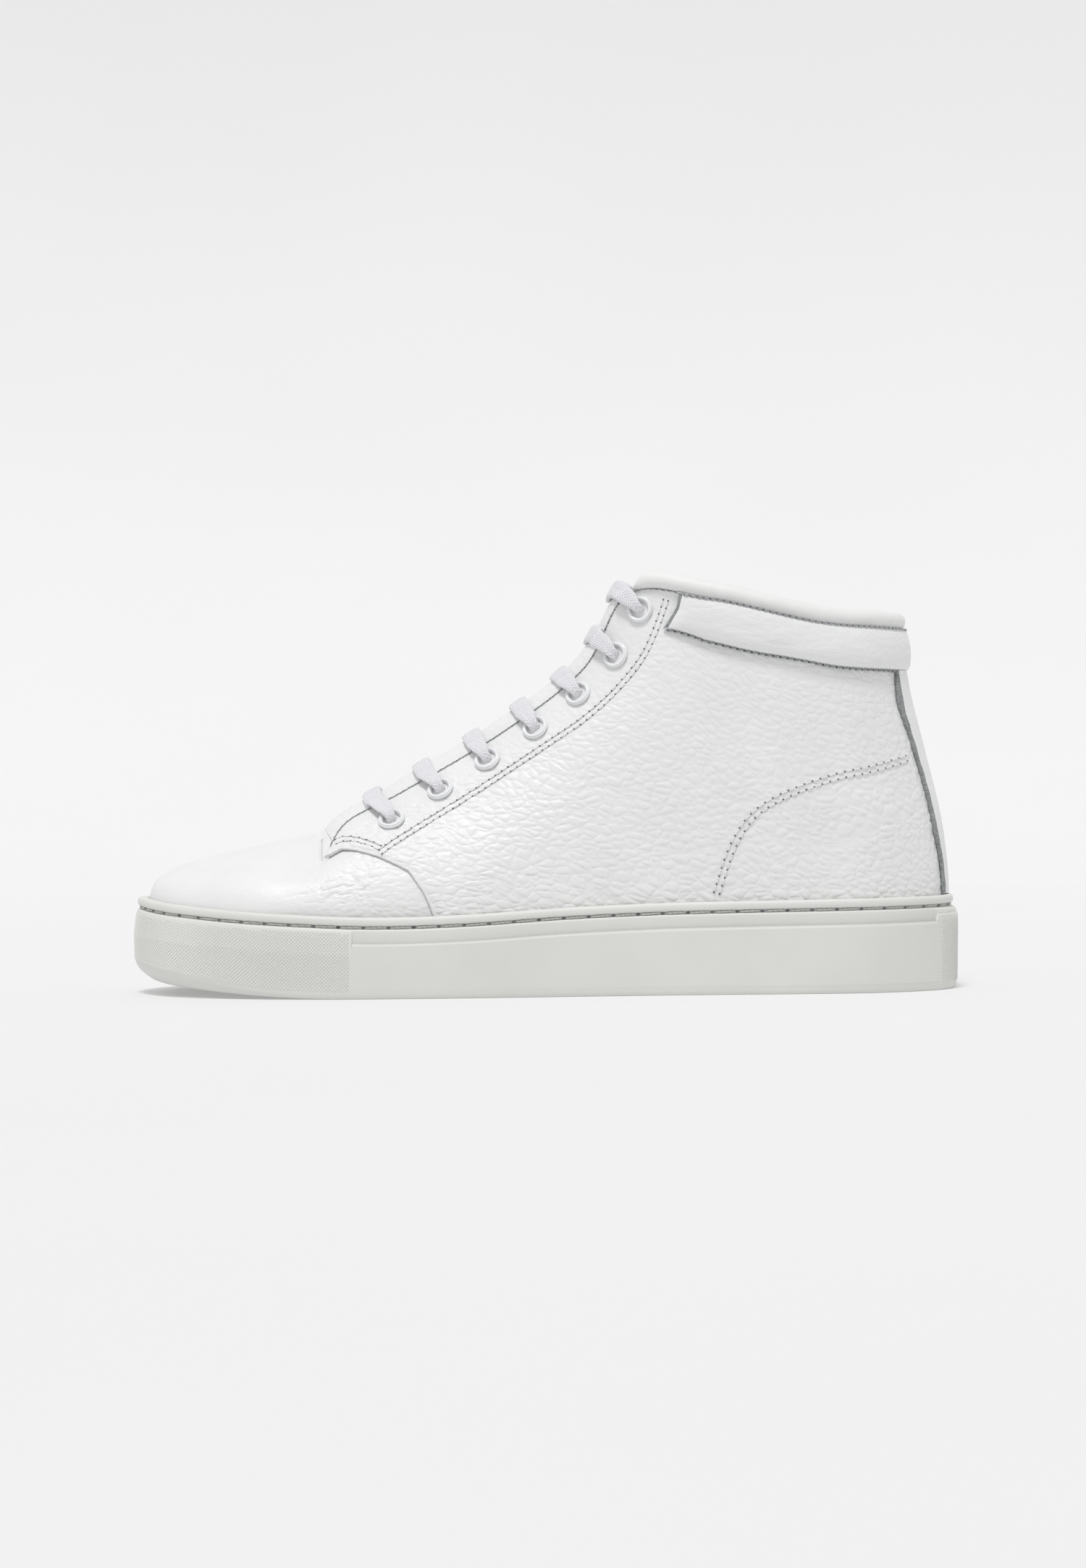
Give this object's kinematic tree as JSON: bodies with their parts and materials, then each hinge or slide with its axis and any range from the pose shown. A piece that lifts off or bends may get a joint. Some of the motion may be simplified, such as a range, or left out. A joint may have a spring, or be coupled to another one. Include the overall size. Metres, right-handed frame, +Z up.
{
  "type": "high top sneaker",
  "caption": "Lace-up high top shoe for the left foot: tumbled leather upper with a padded collar and tongue on a stitched rubber cupsole.",
  "frame": {"origin": "on the ground below the middle of the shoe's box", "axes": "+X from toe to heel, +Y from the outer to the inner side, +Z up"},
  "size_m": [0.3, 0.11, 0.1505],
  "materials": {
    "upper_leather": "white tumbled leather with a soft pebble grain",
    "lining_leather": "smooth matt lining leather",
    "sole_rubber": "satin off-white moulded rubber",
    "cotton_lace": "flat woven cotton",
    "eyelet_enamel": "glossy white enamel",
    "aglet_film": "smooth film",
    "foam": "open foam",
    "fibre_board": "pressed fibre",
    "stiffener": "stiffened cloth"
  },
  "bodies": {
    "shoe": {"outsole_cup": "sole_rubber", "midsole_foam": "foam", "lasting_board": "fibre_board", "footbed": "lining_leather", "vamp": "upper_leather", "toe_puff": "stiffener", "vamp_lining": "lining_leather", "quarter_lateral": "upper_leather", "facing_lateral": "stiffener", "quarter_lining_lateral": "lining_leather", "quarter_medial": "upper_leather", "facing_medial": "stiffener", "quarter_lining_medial": "lining_leather", "heel_counter": "stiffener", "backstay": "upper_leather", "collar_band": "upper_leather", "collar_foam": "foam", "collar_roll": "lining_leather", "lace": "cotton_lace", "aglet_lateral": "aglet_film", "aglet_medial": "aglet_film", "eyelet_lateral_1": "eyelet_enamel", "eyelet_lateral_2": "eyelet_enamel", "eyelet_lateral_3": "eyelet_enamel", "eyelet_lateral_4": "eyelet_enamel", "eyelet_lateral_5": "eyelet_enamel", "eyelet_lateral_6": "eyelet_enamel", "eyelet_lateral_7": "eyelet_enamel", "eyelet_medial_1": "eyelet_enamel", "eyelet_medial_2": "eyelet_enamel", "eyelet_medial_3": "eyelet_enamel", "eyelet_medial_4": "eyelet_enamel", "eyelet_medial_5": "eyelet_enamel", "eyelet_medial_6": "eyelet_enamel", "eyelet_medial_7": "eyelet_enamel"},
    "tongue": {"tongue_outer": "upper_leather", "tongue_foam": "foam", "tongue_lining": "lining_leather"}
  },
  "joints": [
    {"name": "tongue_hinge", "type": "hinge", "parent": "shoe", "child": "tongue", "pos_m": [-0.077, 0, 0.055], "axis": [0, 1, 0], "range_deg": [0, 12], "stiffness_Nm_per_rad": 0.6}
  ]
}
